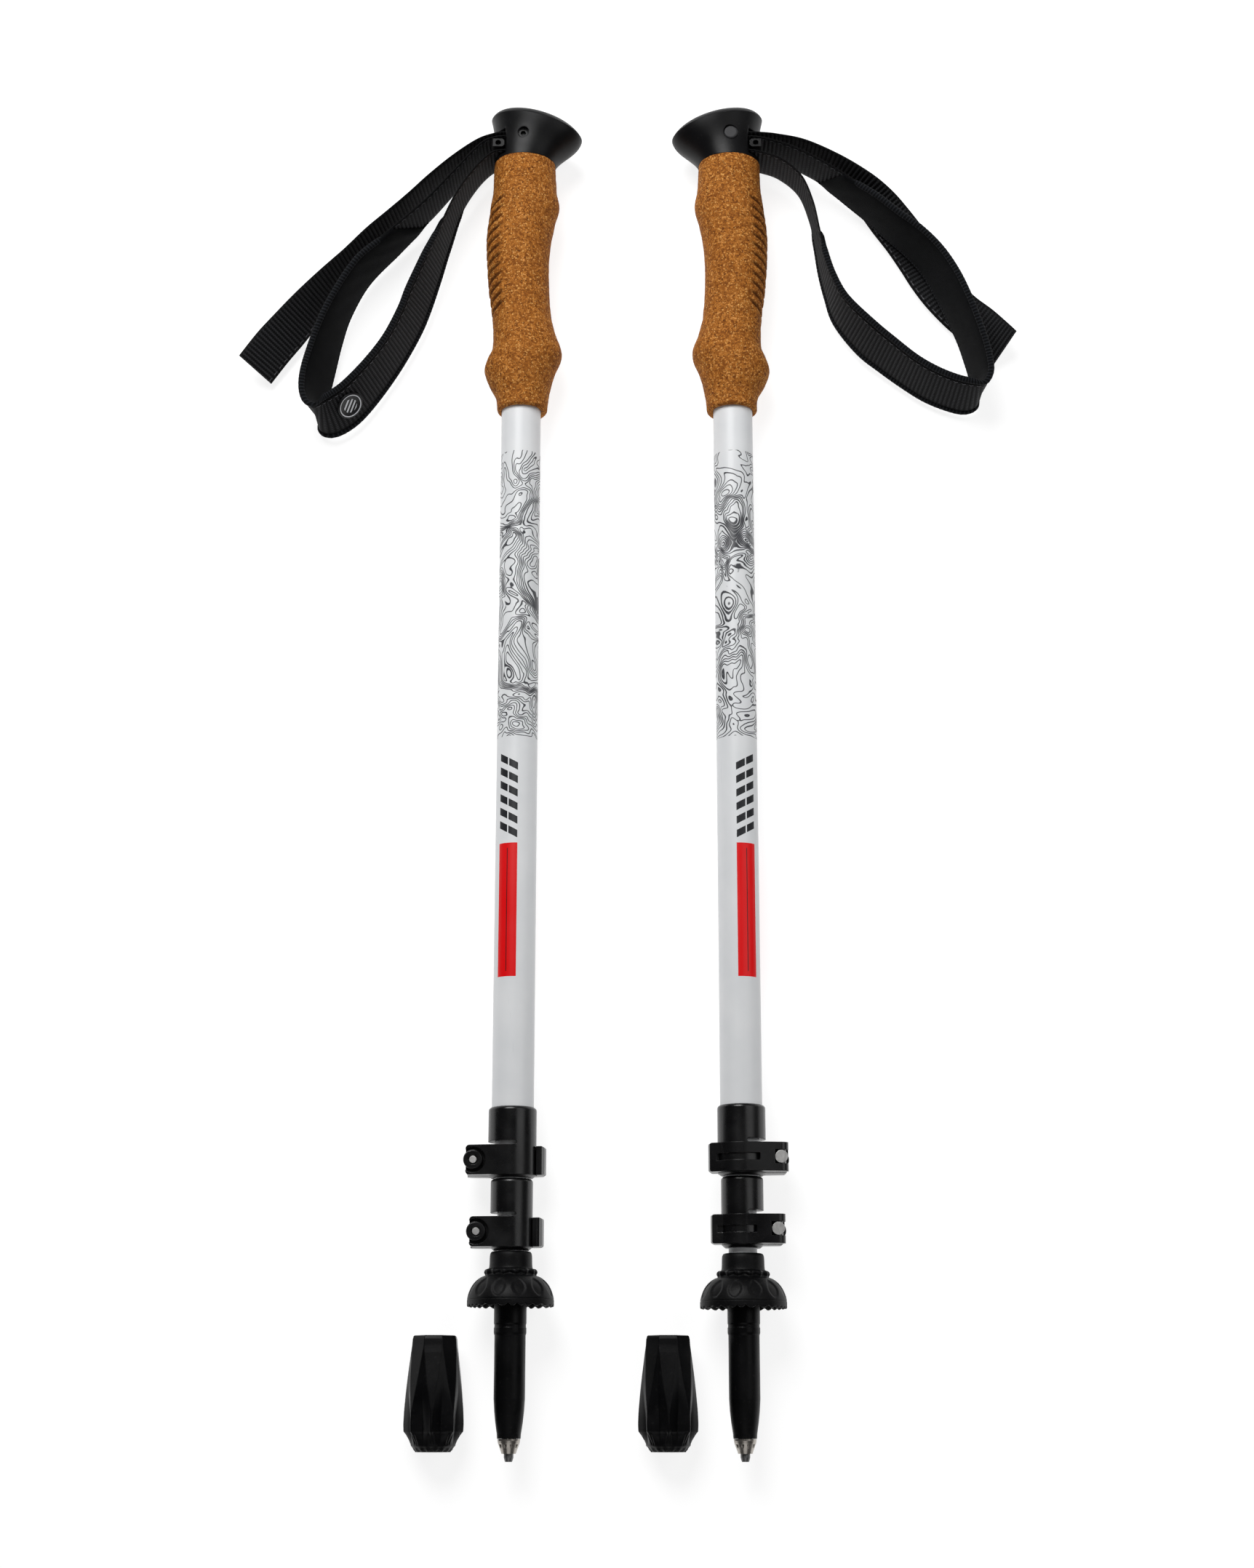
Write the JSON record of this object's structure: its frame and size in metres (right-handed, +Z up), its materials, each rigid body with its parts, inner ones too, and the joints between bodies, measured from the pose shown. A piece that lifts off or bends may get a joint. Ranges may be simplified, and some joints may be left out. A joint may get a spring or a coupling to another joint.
{
  "type": "trekking poles",
  "caption": "Pair of telescoping trekking poles with cork grips, wrist straps, lever locks, trail baskets, carbide tips and loose rubber feet.",
  "frame": {"origin": "bottom centre of the bounding box, on the surface that the poles lie on, midway between the two poles and midway between tips and heads", "axes": "+Y along both poles from the tips to the heads, +Z up off the surface, +X to the side, from the left pole to the right pole"},
  "size_m": [0.3465, 0.618, 0.0364],
  "materials": {
    "head_rubber": "satin moulded rubber",
    "cork": "granular cork",
    "inner_plastic": "moulded",
    "lock_plastic": "semi-gloss moulded",
    "webbing": "ribbed woven webbing",
    "padding": "soft knit lining",
    "badge": "moulded badge with a plain ring",
    "white_shaft": "satin white lacquer",
    "basket_plastic": "matte moulded",
    "ferrule_plastic": "satin moulded",
    "steel": "turned",
    "dark_steel": "blackened",
    "carbide": "ground",
    "foot_rubber": "matte rubber"
  },
  "bodies": {
    "left_upper": {"left_grip_head": "head_rubber", "left_cork_grip": "cork", "left_grip_core": "inner_plastic", "left_strap_pin": "dark_steel", "left_strap_pin_nut": "inner_plastic", "left_upper_tube": "white_shaft", "left_upper_lock_collar": "lock_plastic", "left_upper_lock_bolt": "steel", "left_upper_lock_barrel": "dark_steel"},
    "left_strap": {"left_strap_webbing": "webbing", "left_strap_padding": "padding", "left_strap_badge": "badge"},
    "left_wedge": {"left_strap_wedge": "lock_plastic"},
    "left_upper_lever": {"left_upper_lock_lever": "lock_plastic"},
    "left_upper_nut": {"left_upper_lock_nut": "lock_plastic"},
    "left_middle": {"left_middle_tube": "white_shaft", "left_middle_guide_bush": "inner_plastic", "left_lower_lock_collar": "lock_plastic", "left_lower_lock_bolt": "steel", "left_lower_lock_barrel": "dark_steel"},
    "left_lower_lever": {"left_lower_lock_lever": "lock_plastic"},
    "left_lower_nut": {"left_lower_lock_nut": "lock_plastic"},
    "left_lower": {"left_lower_tube": "white_shaft", "left_lower_guide_bush": "inner_plastic", "left_tip_ferrule": "ferrule_plastic", "left_tip_sleeve": "steel", "left_carbide_tip": "carbide"},
    "left_basket": {"left_basket": "basket_plastic"},
    "left_foot": {"left_rubber_foot": "foot_rubber"},
    "right_upper": {"right_grip_head": "head_rubber", "right_cork_grip": "cork", "right_grip_core": "inner_plastic", "right_strap_pin": "dark_steel", "right_strap_pin_nut": "inner_plastic", "right_upper_tube": "white_shaft", "right_upper_lock_collar": "lock_plastic", "right_upper_lock_bolt": "steel", "right_upper_lock_barrel": "dark_steel"},
    "right_strap": {"right_strap_webbing": "webbing", "right_strap_padding": "padding", "right_strap_badge": "badge"},
    "right_wedge": {"right_strap_wedge": "lock_plastic"},
    "right_upper_lever": {"right_upper_lock_lever": "lock_plastic"},
    "right_upper_nut": {"right_upper_lock_nut": "lock_plastic"},
    "right_middle": {"right_middle_tube": "white_shaft", "right_middle_guide_bush": "inner_plastic", "right_lower_lock_collar": "lock_plastic", "right_lower_lock_bolt": "steel", "right_lower_lock_barrel": "dark_steel"},
    "right_lower_lever": {"right_lower_lock_lever": "lock_plastic"},
    "right_lower_nut": {"right_lower_lock_nut": "lock_plastic"},
    "right_lower": {"right_lower_tube": "white_shaft", "right_lower_guide_bush": "inner_plastic", "right_tip_ferrule": "ferrule_plastic", "right_tip_sleeve": "steel", "right_carbide_tip": "carbide"},
    "right_basket": {"right_basket": "basket_plastic"},
    "right_foot": {"right_rubber_foot": "foot_rubber"}
  },
  "joints": [
    {"name": "left_middle_slide", "type": "slide", "parent": "left_upper", "child": "left_middle", "axis": [0, -1, 0], "range_m": [0, 0.35]},
    {"name": "left_lower_slide", "type": "slide", "parent": "left_middle", "child": "left_lower", "axis": [0, -1, 0], "range_m": [0, 0.35]},
    {"name": "left_upper_lever_open", "type": "hinge", "parent": "left_upper", "child": "left_upper_lever", "pos_m": [-0.0649, -0.18625, 0.01045], "axis": [0, 1, 0], "range_deg": [0, 150]},
    {"name": "left_lower_lever_open", "type": "hinge", "parent": "left_middle", "child": "left_lower_lever", "pos_m": [-0.0632, -0.21605, 0.01045], "axis": [0, 1, 0], "range_deg": [0, 150]},
    {"name": "left_upper_nut_turn", "type": "hinge", "parent": "left_upper", "child": "left_upper_nut", "pos_m": [-0.0649, -0.18625, 0.0244], "axis": [0, 0, 1], "continuous": true},
    {"name": "left_lower_nut_turn", "type": "hinge", "parent": "left_middle", "child": "left_lower_nut", "pos_m": [-0.0632, -0.21605, 0.0244], "axis": [0, 0, 1], "continuous": true},
    {"name": "left_strap_swing", "type": "hinge", "parent": "left_upper", "child": "left_strap", "pos_m": [-0.0637, 0.289, 0.0182], "axis": [0, 0, 1], "range_deg": [-35, 8], "deforming": ["left_strap_webbing"]},
    {"name": "left_wedge_slide", "type": "slide", "parent": "left_upper", "child": "left_wedge", "axis": [-1, 0, 0], "range_m": [0, 0.003]},
    {"name": "left_basket_off", "type": "slide", "parent": "left_lower", "child": "left_basket", "axis": [0, -1, 0], "range_m": [0, 0.09]},
    {"name": "left_foot_slide", "type": "slide", "parent": "left_upper", "child": "left_foot", "axis": [0, -1, 0], "range_m": [0, 0.05]},
    {"name": "right_middle_slide", "type": "slide", "parent": "right_upper", "child": "right_middle", "axis": [0, -1, 0], "range_m": [0, 0.35]},
    {"name": "right_lower_slide", "type": "slide", "parent": "right_middle", "child": "right_lower", "axis": [0, -1, 0], "range_m": [0, 0.35]},
    {"name": "right_upper_lever_open", "type": "hinge", "parent": "right_upper", "child": "right_upper_lever", "pos_m": [0.0649, -0.18525, 0.02595], "axis": [0, 1, 0], "range_deg": [0, 150]},
    {"name": "right_lower_lever_open", "type": "hinge", "parent": "right_middle", "child": "right_lower_lever", "pos_m": [0.0632, -0.21505, 0.02595], "axis": [0, 1, 0], "range_deg": [0, 150]},
    {"name": "right_upper_nut_turn", "type": "hinge", "parent": "right_upper", "child": "right_upper_nut", "pos_m": [0.0649, -0.18525, 0.012], "axis": [0, 0, 1], "continuous": true},
    {"name": "right_lower_nut_turn", "type": "hinge", "parent": "right_middle", "child": "right_lower_nut", "pos_m": [0.0632, -0.21505, 0.012], "axis": [0, 0, 1], "continuous": true},
    {"name": "right_strap_swing", "type": "hinge", "parent": "right_upper", "child": "right_strap", "pos_m": [0.0637, 0.289, 0.0182], "axis": [0, 0, 1], "range_deg": [-8, 35], "deforming": ["right_strap_webbing"]},
    {"name": "right_wedge_slide", "type": "slide", "parent": "right_upper", "child": "right_wedge", "axis": [1, 0, 0], "range_m": [0, 0.003]},
    {"name": "right_basket_off", "type": "slide", "parent": "right_lower", "child": "right_basket", "axis": [0, -1, 0], "range_m": [0, 0.09]},
    {"name": "right_foot_slide", "type": "slide", "parent": "right_upper", "child": "right_foot", "axis": [0, -1, 0], "range_m": [0, 0.05]},
    {"name": "pole_spread", "type": "slide", "parent": "left_upper", "child": "right_upper", "axis": [1, 0, 0], "range_m": [0, 0.2]}
  ]
}
